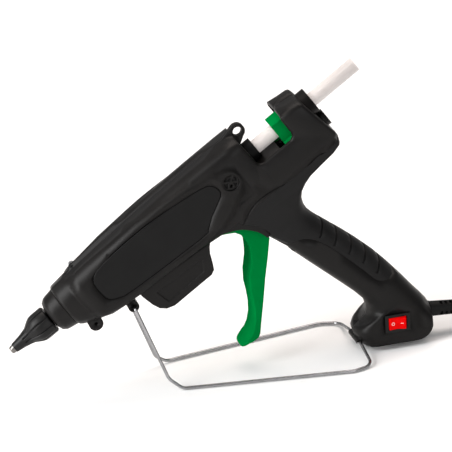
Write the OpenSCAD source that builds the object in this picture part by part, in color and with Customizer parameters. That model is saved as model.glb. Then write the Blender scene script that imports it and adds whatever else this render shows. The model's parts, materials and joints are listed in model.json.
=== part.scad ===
// Industrial hot-melt glue gun for 12 mm sticks, resting on its folding wire stand.
// Gun frame: u runs back from the nozzle tip along the stick, v is square to it and upwards.
// Base frame: +X to the handle and the cord, +Z up from the surface that the stand rests on.

/* [Stance] */
// Angle of the barrel above the surface
pitch = 33.8; // [33:0.2:34.6]
// Height of the nozzle tip above the surface
tip_z = 45; // [44:0.5:47]
// Place of the nozzle tip along the base, ahead of the origin
tip_x = -169.5; // [-175:0.5:-160]

/* [Glue stick] */
// Diameter of the glue stick
stick_d = 11.5; // [11:0.1:12]
// Distance from the nozzle tip to the end of the stick
stick_end = 347; // [330:1:420]

/* [Nozzle and front cap] */
// Diameter of the outlet in the nozzle
outlet_d = 1.5; // [1:0.1:3]
// Radius of the nozzle at its tip
tip_r = 2.6; // [2:0.1:3.2]
// Distance from the tip to the rear of the rubber boot
boot_end = 39.5; // [38:0.5:40]
// Outer radius of the boot over its ribs
boot_r = 12.2; // [11.8:0.1:12.6]
// Number of ribs round the boot
boot_ribs = 10; // [6:1:14]
// Distance from the tip to the front of the cap
cap_start = 40.6; // [40.5:0.1:41.5]
// Radius of the cap where it meets the housing
cap_r = 17.1; // [16:0.1:18]

/* [Housing] */
// Distance from the tip to the front of the housing
body_start = 54.4; // [53.5:0.2:55.5]
// Half width of the barrel at its sides
body_w = 19.5; // [19:0.1:20.2]
// Height of the barrel's crown above the stick
crown = 24; // [23:0.2:25]
// Thickness of the moulded walls
wall = 2.6; // [2:0.1:3]
// How far the cheeks stand out from the barrel
cheek_h = 1.2; // [0.8:0.1:1.6]
// Depth of the recess that holds the side panel
panel_depth = 1.4; // [1:0.1:1.8]
// Gap all round the side panel
panel_gap = 0.5; // [0.3:0.1:0.8]
// Distance from the tip to the front of the cut-out
cut_start = 240; // [238:0.5:242]
// Distance from the tip to the rear of the cut-out
cut_end = 275; // [273.5:0.5:276.5]
// Floor of the cut-out, measured from the stick axis
cut_floor = -6.2; // [-7.2:0.2:-6.2]
// Half width of the handle
handle_w = 18; // [17:0.2:19]
// Thickness of the soft grip
grip_t = 1.8; // [1.2:0.1:2.2]
// Height of the foot above the surface
foot_z = 4.4; // [3.5:0.1:5]
// Radius of the hanging hole
eye_r = 3.7; // [3:0.1:4.2]

/* [Screws] */
// Radius of the screw shank
screw_r = 1.5; // [1.2:0.1:1.8]
// Radius of the screw head
screw_head_r = 2.8; // [2.4:0.1:3.2]

/* [Melt chamber] */
// Outer radius of the melt chamber
chamber_r = 12; // [11.5:0.1:12.4]
// Thickness of the insulating sleeve
insulation_t = 2.4; // [1.5:0.1:2.6]
// Radius of one heating cartridge
heater_r = 2.3; // [2:0.1:2.4]
// Length of the heating cartridges
heater_l = 80; // [50:1:100]

/* [Feed] */
// Squeeze of the trigger
squeeze = 18; // [12:1:20]
// Distance from the trigger pivot to the pins that drive the carriage
drive_l = 16; // [14:0.5:16.5]
// Radius of the drive pins
drive_r = 2.2; // [1.8:0.1:2.6]
// Radius of the trigger's stub axles
axle_r = 4; // [3.4:0.1:4.6]
// Length of the carriage round the stick
carriage_l = 22; // [18:0.5:22]
// Wire radius of the return spring
spring_wire_r = 0.6; // [0.4:0.05:0.8]
// Turns of the return spring
spring_turns = 6; // [4:1:8]

/* [Stand] */
// Radius of the stand's wire
wire_r = 1.25; // [1:0.05:1.5]
// Half width of the stand at its front corners
stand_front_w = 27; // [24:0.5:32]
// Half width of the stand at its rear corners
stand_rear_w = 48.5; // [42:0.5:54]

/* [Switch] */
// Length of the rocker switch's bezel
switch_l = 21; // [20:0.2:22]
// Height of the rocker switch's bezel
switch_h = 15; // [14:0.2:16]
// Tilt of the rocker each way
rocker_tilt = 8; // [5:0.5:10]

/* [Cord] */
// Diameter of the cord
cord_d = 7; // [6.6:0.1:7]
// Length of the strain relief outside the handle
relief_l = 40; // [30:1:44]
// Radius of the strain relief where it leaves the handle
relief_r = 6.3; // [5.6:0.1:6.6]

/* [Hidden] */
$fn = 48;
play = 0.05;          // radial play of a running fit
clear = 0.3;          // clearance between pieces that move past each other
eps = 0.01;
over = 1;             // how far a half shape is built past the parting plane

// Places along the barrel, in the gun frame.
nose_start = 42;                       // front of the chamber's nose
nose_r = 7;
chamber_start = 50;
chamber_end = 196;
sleeve_start = chamber_end;
sleeve_end = cut_start + 6.8;
sleeve_r = 9;
stick_r = stick_d / 2;
stick_play = 0.3;
stick_front = 152;
rear_lo = 303.4;                       // foot of the slanted rear face of the head
rear_lo_v = -36;
rear_slant = 1 / 6;
pivot = [213.6, -3.3];                 // trigger pivot
plug_centre = [215, -0.3];             // middle of the round plug that carries the pivot
plug_r = 6.8;
hinge = [95, -32.6];                 // hinge of the wire stand
socket = [64.4, -23.1];                // spare socket for the stand
hinge_boss_r = 4.4;
socket_boss_r = 5.7;
boss_w = 13;
switch_at = [244, -190.3];
gland_at = [268.3, -208];
relief_dip = 5;                        // droop of the strain relief
screw_at = [[64, -15.8], [79, 18], [166, -25.2], [191, 19.2], [231, 17.5], [290, -29],
    [243, -26], [241, -112], [245, -160], [221, -187]];

// Stroke of the carriage: the drive pins pass through the upright half way along it.
stroke = 2 * drive_l * sin(squeeze / 2);
carriage_start = cut_end - 9;
carriage_w = 9;
rail_out = body_w - wall - 0.5;
rail_in = rail_out - 3;
trigger_w = rail_in - 1.4;               // half width of the trigger
rail_top = cut_floor - 2;
rail_bottom = -15;
drive_pin = [pivot[0] + drive_l * sin(squeeze / 2), pivot[1] + drive_l * cos(squeeze / 2)];

// ---- general functions and shapes ----
function ramp(x, a, b) = max(0, min(1, (x - a) / (b - a)));
function mix(a, b, t) = a + (b - a) * t;
function last(p) = p[len(p) - 1];
// A smooth line through points, n steps to each span.
function bend(p, i, t) = let (a = p[max(i - 1, 0)], b = p[i], c = p[i + 1], d = p[min(i + 2, len(p) - 1)])
    0.5 * (2 * b + (c - a) * t + (2 * a - 5 * b + 4 * c - d) * t * t + (3 * b - a - 3 * c + d) * t * t * t);
function smooth(p, n) = [for (i = [0 : len(p) - 2], k = [0 : n - 1]) bend(p, i, k / n)];
function smooth_to_end(p, n) = concat(smooth(p, n), [last(p)]);
function smooth_loop(p, n) = let (m = len(p)) [for (i = [0 : m - 1], k = [0 : n - 1])
    bend([p[(i + m - 1) % m], p[i], p[(i + 1) % m], p[(i + 2) % m]], 1, k / n)];

// Half of a rounded section from lo to hi, as [along, across] pairs. The ends are superellipses
// k deep of power e, and the half runs a little past the parting plane.
ring_steps = 4;
function end_curve(w, k, e) = [for (i = [0 : ring_steps]) let (a = 90 * i / ring_steps)
    [k * pow(sin(a), 2 / e), w * pow(cos(a), 2 / e)]];
function half_ring(w, lo, hi, k_lo, k_hi, e_lo, e_hi) = let (a = end_curve(w, k_lo, e_lo), b = end_curve(w, k_hi, e_hi))
    concat([[lo, -over]], [for (i = [ring_steps : -1 : 0]) [lo + k_lo - a[i][0], a[i][1]]],
        [for (i = [0 : ring_steps]) [hi - k_hi + b[i][0], b[i][1]]], [[hi, -over]]);

// Skin through rings of equal count, closed by a flat face at each end.
module loft(rings) {
    n = len(rings[0]);
    m = len(rings);
    sides = [for (k = [0 : m - 2], i = [0 : n - 1]) let (j = (i + 1) % n, a = k * n, b = a + n)
        each [[a + i, b + i, b + j], [a + i, b + j, a + j]]];
    polyhedron([for (r = rings) each r],
        concat([[for (i = [0 : n - 1]) i]], sides, [[for (i = [n - 1 : -1 : 0]) (m - 1) * n + i]]));
}

// Tube of radius r along points, with square ends. Each ring keeps the side of the one before it.
function unit(a) = a / norm(a);
function heading(p, i) = unit(p[min(i + 1, len(p) - 1)] - p[max(i - 1, 0)]);
function carried(s, h) = unit(s - h * (s * h));
module tube(p, r, sides = 8, side = [0, 0, 1]) {
    n = len(p);
    way = [for (i = 0, s = carried(side, heading(p, 0)); i < n; i = i + 1, s = carried(s, heading(p, min(i, n - 1)))) s];
    loft([for (i = [0 : n - 1]) let (s = way[i], t = cross(heading(p, i), s))
        [for (k = [0 : sides - 1]) let (a = 360 * (k + 0.5) / sides) p[i] + r * (cos(a) * s + sin(a) * t)]]);
}
// A route with its inner corners rounded: each is cut back by r and bridged by a curve of n steps.
function rounded(p, r, n) = concat([p[0]], [for (i = [1 : len(p) - 2])
    let (a = p[i] + r * unit(p[i - 1] - p[i]), b = p[i] + r * unit(p[i + 1] - p[i]))
    each [for (k = [0 : n]) let (t = k / n) (1 - t) * (1 - t) * a + 2 * t * (1 - t) * p[i] + t * t * b]], [last(p)]);

// ---- frames ----
function base_of(p) = [tip_x + p[0] * cos(pitch) - p[1] * sin(pitch), tip_z + p[0] * sin(pitch) + p[1] * cos(pitch)];
module gun() translate([tip_x, 0, tip_z]) rotate([0, -pitch, 0]) children();
module base_in_gun() rotate([0, pitch, 0]) translate([-tip_x, 0, -tip_z]) children();
// A flat outline in u and v, standing from y = lo to y = hi.
module plate(lo, hi) translate([0, hi, 0]) rotate([90, 0, 0]) linear_extrude(hi - lo) children();
// A rod across the gun at a point, from y = lo to y = hi.
module rod(at, r, lo, hi) translate([at[0], hi, at[1]]) rotate([90, 0, 0]) cylinder(r = r, h = hi - lo);
// A rod along the stick axis from u = a to u = b.
module core(r, a, b, at = [0, 0]) translate([a, at[0], at[1]]) rotate([0, 90, 0]) cylinder(r = r, h = b - a);
// A profile of [u, radius] points turned round the stick axis.
module turned(profile) rotate([0, 90, 0]) rotate([0, 0, 90]) rotate_extrude() polygon([for (p = profile) [p[1], p[0]]]);
module mirrored(side) mirror([0, side > 0 ? 0 : 1, 0]) children();
module both_sides() for (s = [1, -1]) mirrored(s) children();

// ---- outer form of the housing ----
function crown_at(u) = crown - pow(u - 190, 2) / 3700;
function belly_at(u) = lookup(u, [[54, -18.5], [58, -20.5], [70, -26], [106, -29.2], [172, -31.2], [190, -34], [228, -34], [236, -30], [310, -30]]);
function barrel_w(u) = lookup(u, [[54, body_w - 0.5], [66, body_w - 0.5], [76, body_w], [200, body_w], [226, body_w + 0.8], [310, body_w + 0.8]]);
// One section of the barrel, inset by t. The head behind the cut-out is lower and squarer.
function barrel_ring(u, t) = let (head = ramp(u, 250, 264), front = 1 - ramp(u, 58, 108),
    hi = mix(crown_at(u), 16.6 - 0.1 * (u - 278), head), k_hi = mix(mix(10, 19.6, front), 5, head),
    k_lo = mix(mix(9, 17.5, 1 - ramp(u, 58, 90)), 4, ramp(u, 150, 168)), e = mix(2, 3, ramp(u, 58, 150)))
    half_ring(barrel_w(u) - t, belly_at(u) + t, hi - t, k_lo - t, k_hi - t, e, e);
module barrel(t = 0) {
    front = [[body_start, 1.6], [body_start + 0.8, 0.5], [body_start + 2.6, 0]];
    middle = [66, 76, 90, 108, 138, 165, 192, 210, 226, 240, 250, 264, 276];
    rear = [[rear_lo - 10, 0], [rear_lo - 2.5, 0], [rear_lo - 0.7, 0.8], [rear_lo, 2.6]];
    stations = concat([for (s = front) [s[0] + t, s[1]]], [for (u = middle) [u, 0]], [for (s = rear) [s[0] - t, s[1]]]);
    loft([for (s = stations) [for (p = barrel_ring(s[0], t + s[1]))
        [s[0] - rear_slant * ramp(s[0], 270, rear_lo - 10) * (p[0] - rear_lo_v), p[1], p[0]]]]);
}

// Front and back of the handle at height v, square to the stick.
handle_front = [[-21, 205], [-34, 197], [-37, 199], [-41, 203.2], [-48, 207.4], [-58, 208.6], [-68, 210.8],
    [-82, 215.4], [-110, 222.6], [-134, 229], [-152, 233.6], [-163, 235.2], [-168.5, 234.2], [-172.5, 232], [-175, 229],
    [-176.3, 225], [-176.9, 219], [-177.4, 215], [-178.6, 212.8], [-182.4, 211.7], [-190.5, 211.1], [-232, 210.8]];
handle_back = [[-21, 300.6], [-33, 302.4], [-36, 301.2], [-37.6, 295.6], [-38.6, 283.4], [-40, 270.8], [-43, 262.8],
    [-48, 255.7], [-55, 250.3], [-62, 247.7], [-69, 247.1], [-77, 248.8], [-92, 253.8], [-106, 258.5], [-119, 262.4],
    [-133, 266], [-149, 268.7], [-165, 270.8], [-181, 272.2], [-202, 274.8], [-232, 276.8]];
handle_v = [-21, -33, -36, -37.6, -38.6, -40, -43, -48, -55, -62, -69, -77, -92, -106, -119, -134, -149,
    -163, -168.5, -172.5, -175, -176.3, -176.9, -177.4, -178.6, -182.4, -190.5, -232];
function handle_w_at(v) = lookup(v, [[-232, handle_w + 1.4], [-182, handle_w + 1.4], [-165, handle_w + 0.4],
    [-150, handle_w], [-75, handle_w], [-55, handle_w + 0.8], [-40, body_w + 0.75], [-21, body_w + 0.75]]);
function front_k(v) = lookup(v, [[-232, 8], [-190, 9], [-183, 14], [-177, 24], [-172, 18], [-163, 13], [-150, 12],
    [-70, 10], [-60, 5], [-48, 4], [-21, 4]]);
function back_k(v) = lookup(v, [[-232, 10], [-190, 12], [-165, 15], [-70, 16], [-50, 12], [-40, 6], [-21, 6]]);
module handle(t = 0) {
    loft([for (v = handle_v)
        [for (p = half_ring(handle_w_at(v) - t, lookup(v, handle_front) + t, lookup(v, handle_back) - t,
            front_k(v) - t, back_k(v) - t, 2.3, 2.3)) [p[0], p[1], v]]]);
}
// Everything in front of the upright heel and above the level sole, inset by t, with a round corner between.
heel_r = 13;
heel_x = base_of(gland_at)[0];
module foot_space(t = 0) base_in_gun() translate([0, 60, 0]) rotate([90, 0, 0]) linear_extrude(120) {
    translate([heel_x - heel_r, foot_z + heel_r]) circle(heel_r - t);
    translate([-300, foot_z + t]) square([300 + heel_x - heel_r, 400]);
    translate([-300, foot_z + heel_r]) square([300 + heel_x - t, 400]);
}

cheek_line = [[69.2, -18], [68, -4], [67.8, 6], [69, 13.4], [72.6, 18.2], [80, 20.4], [108, 21.9], [138, 22.8],
    [163, 21.7], [190, 18.6], [208, 14.6], [219, 9.4], [223.5, 2], [222, -7], [214, -15], [203, -22], [190, -27]];
panel_line = [[85.5, 10.5], [92, 15], [111, 17.4], [142, 17.9], [175, 15], [195, 11.9], [202, 8.4], [204.6, 2],
    [202.4, -4.3], [187, -12.8], [178, -19.6], [169.5, -21.5], [105, -18], [93, -15.5], [85.5, -11.2], [83.5, -5], [83.6, 5]];
panel_face = body_w + cheek_h;
module cheek_outline() polygon(concat(smooth_to_end(cheek_line, 2), [[172, -28], [80, -24]]));
// The panel's outline, which runs clockwise, moved inwards by gap.
module panel_outline(gap = 0) {
    p = smooth_loop(panel_line, 2);
    n = len(p);
    polygon([for (i = [0 : n - 1]) let (h = unit(p[(i + 1) % n] - p[(i + n - 1) % n])) p[i] + gap * [h[1], -h[0]]]);
}

// ---- places inside the housing ----
front_wall = body_start + 3;
chamber_rib = [188, 191];
bulkhead = [236, cut_start];
rear_block = 291;
insulation_start = screw_at[0][0] + screw_r + 2.5;
insulation_end = chamber_rib[0] - 2;
insulation_r = chamber_r + insulation_t;
collar_r = 11;
collar_hole_r = stick_r + 0.6;
collar_v = 0.5;
adjuster_r = 7;
adjuster_v = -18.4;
adjuster_shaft_r = 3;
adjuster_seat = 295.5;
rail_end = 286;
rail_start = pivot[0] - 8.6;
guide_v = rail_bottom - clear;
guide_start = 228;
spring_v = -42;
spring_r = 4.4;
spring_start = 215.3;
spring_end = 236;
spring_seat_r = 6;
plug_in = body_w - wall - 0.2;         // inner face of the pivot plugs
block_at = [248.6, -133];
block_size = [14, 11, 34];
head_seat = 11;                        // where the screw heads sit, from the parting plane
floor_t = 1.4;                         // floor of the cut-out, over the rails
slot_w = trigger_w + 0.7;
slot_line = [[174.8, -16.6], [174.8, -50], [196, -85.5], [222, -85.5], [232, -66], [233, -16.6]];

module screw_posts() for (s = screw_at) rod(s, screw_r + 1.8, -2 * over, 30);
// Walls across the barrel: the front, the chamber's rear rest, ahead of the cut-out and the rear of the head.
module ribs() for (r = [[body_start - 2, front_wall], chamber_rib, bulkhead, [rear_block, 310]])
    translate([r[0], -2 * over, -60]) cube([r[1] - r[0], 60, 100]);
module guides() {
    translate([cut_start - over, -2 * over, cut_floor - floor_t])
        cube([carriage_start - stroke - clear - cut_start + over, 40, floor_t]);
    translate([guide_start, rail_in - 2.9, guide_v - 2]) cube([rear_block - guide_start + over, 20, 2]);
    translate([spring_end, -2 * over, spring_v - spring_seat_r]) cube([3, 40, 2 * spring_seat_r]);
    translate([block_at[0] - 4, block_size[1] / 2, block_at[1] - 10]) cube([8, 20, 3]);
    translate([block_at[0] - 4, block_size[1] / 2, block_at[1] + 7]) cube([8, 20, 3]);
}
module rail_windows() translate([200, rail_in - clear, rail_bottom - clear])
    cube([rail_end + 1 - 200, rail_out - rail_in + 2 * clear, rail_top - rail_bottom + 2 * clear]);

// ---- stand, hinge bosses, clip and hanging eye ----
clip_at = [210.6, -186.4];
clip_w = 11;
clip_t = 1.2;
stand_hinge = base_of(hinge);
stand_bar = base_of(clip_at);
// Lean of the clip's mouth from straight down, the way the bar swings out.
clip_exit = atan((stand_hinge[1] - stand_bar[1]) / (stand_bar[0] - stand_hinge[0]));
boss_in = 4;
module stand_boss(at, boss_r, reach) {
    rod(at, boss_r, -over, boss_w);
    translate([at[0] - boss_r + 1, -over, at[1]]) cube([2 * boss_r - 2, boss_w + over, reach]);
}
eye_at = [244, 20.9];
eye_t = 2.4;
module hang_eye() difference() {
    union() {
        rod(eye_at, eye_r + 2.4, -over, eye_t);
        plate(-over, eye_t) polygon([[cut_start - 16, crown_at(cut_start) - 1.5], eye_at + [-1.5, 5.9],
            eye_at + [2, -5.7], [cut_start - 2, 10], [cut_start - 6, 10]]);
    }
    rod(eye_at, eye_r, -2 * over, eye_t + over);
}
cut_r = 5;
rim = 1.8;                             // chamfer round the cut-out's outer edges
// The cut-out seen from the side, grown by g.
module cut_profile(g = 0) {
    for (u = [cut_start + cut_r, cut_end - cut_r]) translate([u, cut_floor + cut_r]) circle(cut_r + g);
    translate([cut_start + cut_r, cut_floor - g]) square([cut_end - cut_start - 2 * cut_r, 50]);
    polygon([[cut_start - g, cut_floor + cut_r], [cut_end + g, cut_floor + cut_r], [cut_end + g, 45], [cut_start - 3 - g, 45]]);
}
module cut_out() {
    plate(-2 * over, 40) cut_profile();
    hull() {
        plate(barrel_w(cut_end) - rim, barrel_w(cut_end) - rim + eps) cut_profile();
        plate(barrel_w(cut_end), barrel_w(cut_end) + over) cut_profile(rim);
    }
}

// ---- switch ----
bezel_t = 1.6;
switch_seat = handle_w + 0.5;
switch_wall = 2;
rocker_r = 7.5;
rocker_in = 0.6;                       // depth of the rocker's axis behind the seat
rocker_l = 15.6;
rocker_h = 10;
switch_depth = 13.6;
module at_switch() translate([switch_at[0], 0, switch_at[1]]) rotate([0, pitch, 0]) children();
module switch_box(l, h, lo, hi) at_switch() translate([-l / 2, lo, -h / 2]) cube([l, hi - lo, h]);

// ---- gland ----
gland_r = 4.6;
cord_r = cord_d / 2;
module at_gland() base_in_gun() translate([heel_x, 0, base_of(gland_at)[1]]) rotate([0, 90, 0]) children();

module housing_form() {
    barrel();
    intersection() {
        barrel(-cheek_h);
        plate(6, 40) cheek_outline();
    }
    intersection() {
        handle();
        foot_space();
    }
    stand_boss(hinge, hinge_boss_r, 14);
    stand_boss(socket, socket_boss_r, 9);
    rod(clip_at, wire_r + clip_t, -over, clip_w);
}
module housing_hollow() {
    difference() {
        barrel(wall);
        ribs();
        screw_posts();
        guides();
    }
    difference() {
        intersection() {
            handle(wall);
            foot_space(wall);
        }
        screw_posts();
        guides();
        translate([rear_block, -2 * over, -60]) cube([20, 60, 100]);
        translate([bulkhead[0], -2 * over, -34]) cube([bulkhead[1] - bulkhead[0], 60, 40]);
    }
    rail_windows();
}
// Bores and openings that both halves share.
module housing_openings() {
    core(chamber_r, body_start - 3, chamber_rib[1] + over);
    core(sleeve_r, chamber_rib[0], sleeve_end);
    core(collar_r + play, rear_block - 2, 310, [0, collar_v]);
    core(collar_r + over + play, rear_block - 3 - play, rear_block, [0, collar_v]);
    core(adjuster_shaft_r + play, rear_block - 2, 310, [0, adjuster_v]);
    core(adjuster_r + clear, adjuster_seat, 310, [0, adjuster_v]);
    plate(-2 * over, slot_w) polygon(slot_line);
    rod(plug_centre, plug_r, plug_in, 40);
    rod(hinge, wire_r + play, boss_in, boss_w + over);
    rod(socket, wire_r + clear, boss_in, boss_w + over);
    rod(clip_at, wire_r + clear, -2 * over, clip_w + over);
    translate([clip_at[0], -2 * over, clip_at[1]]) rotate([0, pitch + 90 + clip_exit, 0])
        translate([0, 0, -wire_r - clear]) cube([10, clip_w + 3 * over, 2 * (wire_r + clear)]);
    plate(panel_face - panel_depth, 40) panel_outline();
    at_gland() cylinder(r = gland_r, h = 30, center = true);
    difference() {
        intersection() {
            handle(-over);
            plate(-2 * over, 40) grip_outline();
        }
        handle(grip_t);
    }
}
module housing_half() difference() {
    union() {
        difference() {
            housing_form();
            housing_hollow();
            housing_openings();
            cut_out();
        }
        hang_eye();
    }
    translate([-20, -60, -320]) cube([400, 60, 420]);
    children();
}
module housing_left() color("#262422") mirror([0, 1, 0]) housing_half() {
    switch_box(switch_l, switch_h, switch_seat, 40);
    switch_box(switch_l - 2, switch_h - 2, switch_seat - 8, 40);
    for (s = screw_at) rod(s, screw_r, -over, 9);
}
module housing_right() color("#262422") housing_half() {
    for (s = screw_at) rod(s, screw_r + 0.2, -over, 40);
    for (s = screw_at) rod(s, screw_head_r + 0.2, head_seat, 40);
}

// ---- soft grip ----
grip_line = [[214.5, -72.6], [222, -75.6], [229.6, -79.4], [235.6, -85.8], [241.6, -98.9], [246.6, -119], [250.6, -137],
    [252.4, -147], [255.6, -152.6], [261.8, -155.8], [268.1, -155.4], [285, -150]];
grip_top = [[289.5, -33.2], [282, -32], [275, -31.8], [256.6, -32], [241, -31], [228.5, -30.6],
    [218, -31], [208.7, -33], [201.4, -37], [190, -44]];
module grip_outline() polygon(concat(smooth(grip_line, 2), [[320, -150], [320, -28]], smooth(grip_top, 2), [[190, -72]]));
mark_at = [-82, -95.6, -109.8, -124, -139];
mark_depth = 1.2;
// Marks across the back of the grip, sloping down towards the front.
module grip_marks() difference() {
    for (v = mark_at) translate([lookup(v, handle_back), -over, v]) rotate([0, -30, 0])
        translate([-12, 0, -1]) cube([24, 30, 2]);
    handle(mark_depth);
}
module soft_grip() color("#2b2a29") both_sides() difference() {
    intersection() {
        handle();
        plate(0, 40) grip_outline();
    }
    handle(grip_t);
    grip_marks();
    plate(-2 * over, slot_w) polygon(slot_line);
    translate([-20, -60, -320]) cube([400, 60, 420]);
}

// ---- trim of the barrel ----
module side_panel() color("#1f1e1e") plate(panel_face - panel_depth, panel_face - 0.1) panel_outline(panel_gap);
cover_w = 17;
cover_wall = 2.4;
cover_line = [[105.2, -24], [105.6, -30], [107.4, -40], [109.6, -46], [113.6, -50.2], [120, -52.6], [157.3, -52.6],
    [161.2, -50.6], [164, -45], [167.2, -37.4], [170.2, -33], [173.5, -29.6], [173.5, -24]];
cover_hollow = [[110, -20], [110, -40], [114, -47.6], [120, -50.2], [156, -50.2], [160.4, -44], [164, -36], [164, -20]];
inset_line = [[116, -34], [160, -36.6], [154.4, -46.4], [118.4, -46.8]];
inset_depth = 0.8;
module lower_cover() color("#222121") both_sides() difference() {
    plate(0, cover_w) polygon(cover_line);
    plate(-over, cover_w - cover_wall) polygon(cover_hollow);
    plate(cover_w - inset_depth, cover_w + over) polygon(inset_line);
    barrel();
}

// ---- nozzle, boot and cap ----
nozzle_hex_r = 6.2;
nozzle_end = 48;
nozzle_thread_r = 4;
boot_front = 3.5;
groove_w = 1.2;
groove_line = [[13.5, 5.2], [19, 6.2], [24.5, 9.4], [28, 10.7], [45, 10.9], [45, 20], [13.5, 20]];
cap_line = [[cap_start, 9.5], [42, 13.2], [45, 15.3], [48, 16], [51, 16.5], [body_start, cap_r]];
module nozzle() color("#8d8a86") difference() {
    turned([[0, 0], [0, tip_r], [1.4, tip_r + 0.6], [14, 4.2], [24, 5], [24, nozzle_hex_r], [boot_end + 0.9, nozzle_hex_r],
        [boot_end + 0.9, nozzle_thread_r], [nozzle_end, nozzle_thread_r], [nozzle_end, 0]]);
    core(outlet_d / 2, -over, 10);
    turned([[6, 0], [6, outlet_d / 2], [9, 3], [nozzle_end + over, 3], [nozzle_end + over, 0]]);
}
function nozzle_r(u) = u < 14 ? tip_r + 0.6 + (u - 1.4) * (4.2 - tip_r - 0.6) / 12.6 : 4.2 + (u - 14) * 0.08;
module nozzle_boot() color("#1d1c1c") {
    difference() {
        turned([[boot_front, nozzle_r(boot_front)], [boot_front, 3.9], [7, 4.4], [11.4, 5.1], [15.5, 6], [18.9, 7],
            [21.5, 8.7], [24, 10.2], [26.4, boot_r - 0.9], [29, boot_r - 0.5], [boot_end - 1, boot_r - 0.5],
            [boot_end, boot_r - 1.4], [boot_end, nozzle_hex_r], [24, nozzle_hex_r], [24, 5], [14, 4.2]]);
        for (i = [0 : boot_ribs - 1]) rotate([360 / boot_ribs * (i + 0.5), 0, 0])
            plate(-groove_w / 2, groove_w / 2) polygon(groove_line);
    }
}
module front_cap() color("#222121") difference() {
    turned(concat([[cap_start, 0]], cap_line, [[body_start, 0]]));
    core(nose_r, 0, chamber_start);
    core(chamber_r, chamber_start, 100);
}

// ---- heating ----
heater_at = [for (s = [-1, 1]) 9.15 * [s * sin(45), -cos(45)]];
heater_start = 70;
chamber_bore_r = stick_r + 0.45;
thermostat_u = [118, 134];
module melt_chamber() color("#a9abad") difference() {
    turned([[nose_start, 0], [nose_start, nose_r], [chamber_start, nose_r], [chamber_start, chamber_r],
        [chamber_end, chamber_r], [chamber_end, 0]]);
    core(nozzle_thread_r, 0, nozzle_end);
    turned([[nozzle_end - over, 0], [nozzle_end - over, 3], [70, 3], [140, chamber_bore_r],
        [chamber_end + over, chamber_bore_r], [chamber_end + over, 0]]);
    for (h = heater_at) core(heater_r, heater_start, chamber_end + over, h);
    translate([thermostat_u[0], -5, -chamber_r - over]) cube([thermostat_u[1] - thermostat_u[0], 10, 2]);
}
module chamber_insulation() color("#d8d2c4") difference() {
    core(insulation_r, insulation_start, insulation_end);
    core(chamber_r, 0, 300);
    translate([thermostat_u[0] - 1, -6, -20]) cube([thermostat_u[1] - thermostat_u[0] + 2, 12, 12]);
}
module heating_cartridges() color("#b8b4ac") for (h = heater_at) core(heater_r, heater_start, heater_start + heater_l, h);
module thermostat() color("#c9b26a") {
    translate([thermostat_u[0], -5, -19]) cube([thermostat_u[1] - thermostat_u[0], 10, 20 - chamber_r]);
    for (u = [thermostat_u[0] + 3, thermostat_u[1] - 3]) translate([u - 2, -1, -22]) cube([4, 2, 4]);
}
module inlet_sleeve() color("#c8682c") difference() {
    core(sleeve_r, chamber_end, sleeve_end);
    core(chamber_bore_r, chamber_end - over, sleeve_end + over);
}

// ---- feed ----
module glue_stick() color("#e9e2d6") core(stick_r, stick_front, stick_end);
carriage_top = 8.5;
carriage_bottom = rail_top - over;
yoke_top = drive_pin[1] + drive_r + 1.4;
yoke_end = pivot[0] + axle_r + stroke + 3;
gripper_t = 3;
module feed_carriage() color("#0f9a4c") difference() {
    union() {
        translate([carriage_start, -carriage_w, carriage_bottom]) cube([carriage_l - 2, 2 * carriage_w, carriage_top - carriage_bottom]);
        // Bridge from the block out to the rails.
        translate([carriage_start, -rail_out, rail_bottom]) cube([carriage_l - 2, 2 * rail_out, rail_top - rail_bottom]);
        both_sides() {
            translate([rail_start, rail_in, rail_bottom]) cube([rail_end - rail_start, rail_out - rail_in, rail_top - rail_bottom]);
            translate([rail_start, rail_in, rail_bottom]) cube([yoke_end - rail_start, rail_out - rail_in, yoke_top - rail_bottom]);
        }
    }
    core(stick_r + stick_play, carriage_start - over, rail_end + over);
    // Seat of the gripper plate, open from below.
    translate([carriage_start + 8, -carriage_w + 2, rail_bottom - over]) cube([gripper_t, 2 * carriage_w - 4, 7 - rail_bottom + over]);
    both_sides() {
        // Upright slot for the drive pin, and the relief that clears the trigger's axle.
        rod(drive_pin, drive_r + clear, rail_in - over, rail_out + over);
        translate([drive_pin[0] - drive_r - clear, rail_in - over, drive_pin[1]])
            cube([2 * (drive_r + clear), 5, 0.8]);
        translate([pivot[0] - axle_r - clear, rail_in - over, pivot[1] - axle_r - clear])
            cube([2 * axle_r + 2 * clear + stroke, 5, 2 * (axle_r + clear)]);
    }
}
module stick_gripper() color("#9a9da0") difference() {
    translate([carriage_start + 8, -carriage_w + 2, -7]) cube([gripper_t, 2 * carriage_w - 4, 14]);
    core(stick_r + stick_play, carriage_start, rail_end);
}
module stick_collar() color("#1e1d1d") difference() {
    union() {
        core(collar_r, rear_block - 1, rear_lo, [0, collar_v]);
        core(collar_r + over, rear_block - 3, rear_block, [0, collar_v]);
    }
    core(collar_hole_r, 200, 400);
}
module feed_adjuster() color("#1e1d1d") {
    core(adjuster_shaft_r, rear_block - 4.6, adjuster_seat + over, [0, adjuster_v]);
    core(adjuster_shaft_r + 1.6, rear_block - 4.6, rear_block - clear, [0, adjuster_v]);
    difference() {
        core(adjuster_r, adjuster_seat + clear, rear_lo + 1.1, [0, adjuster_v]);
        translate([rear_lo - 0.5, -adjuster_r, adjuster_v - 0.8]) cube([3, 2 * adjuster_r, 1.6]);
    }
}

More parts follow.
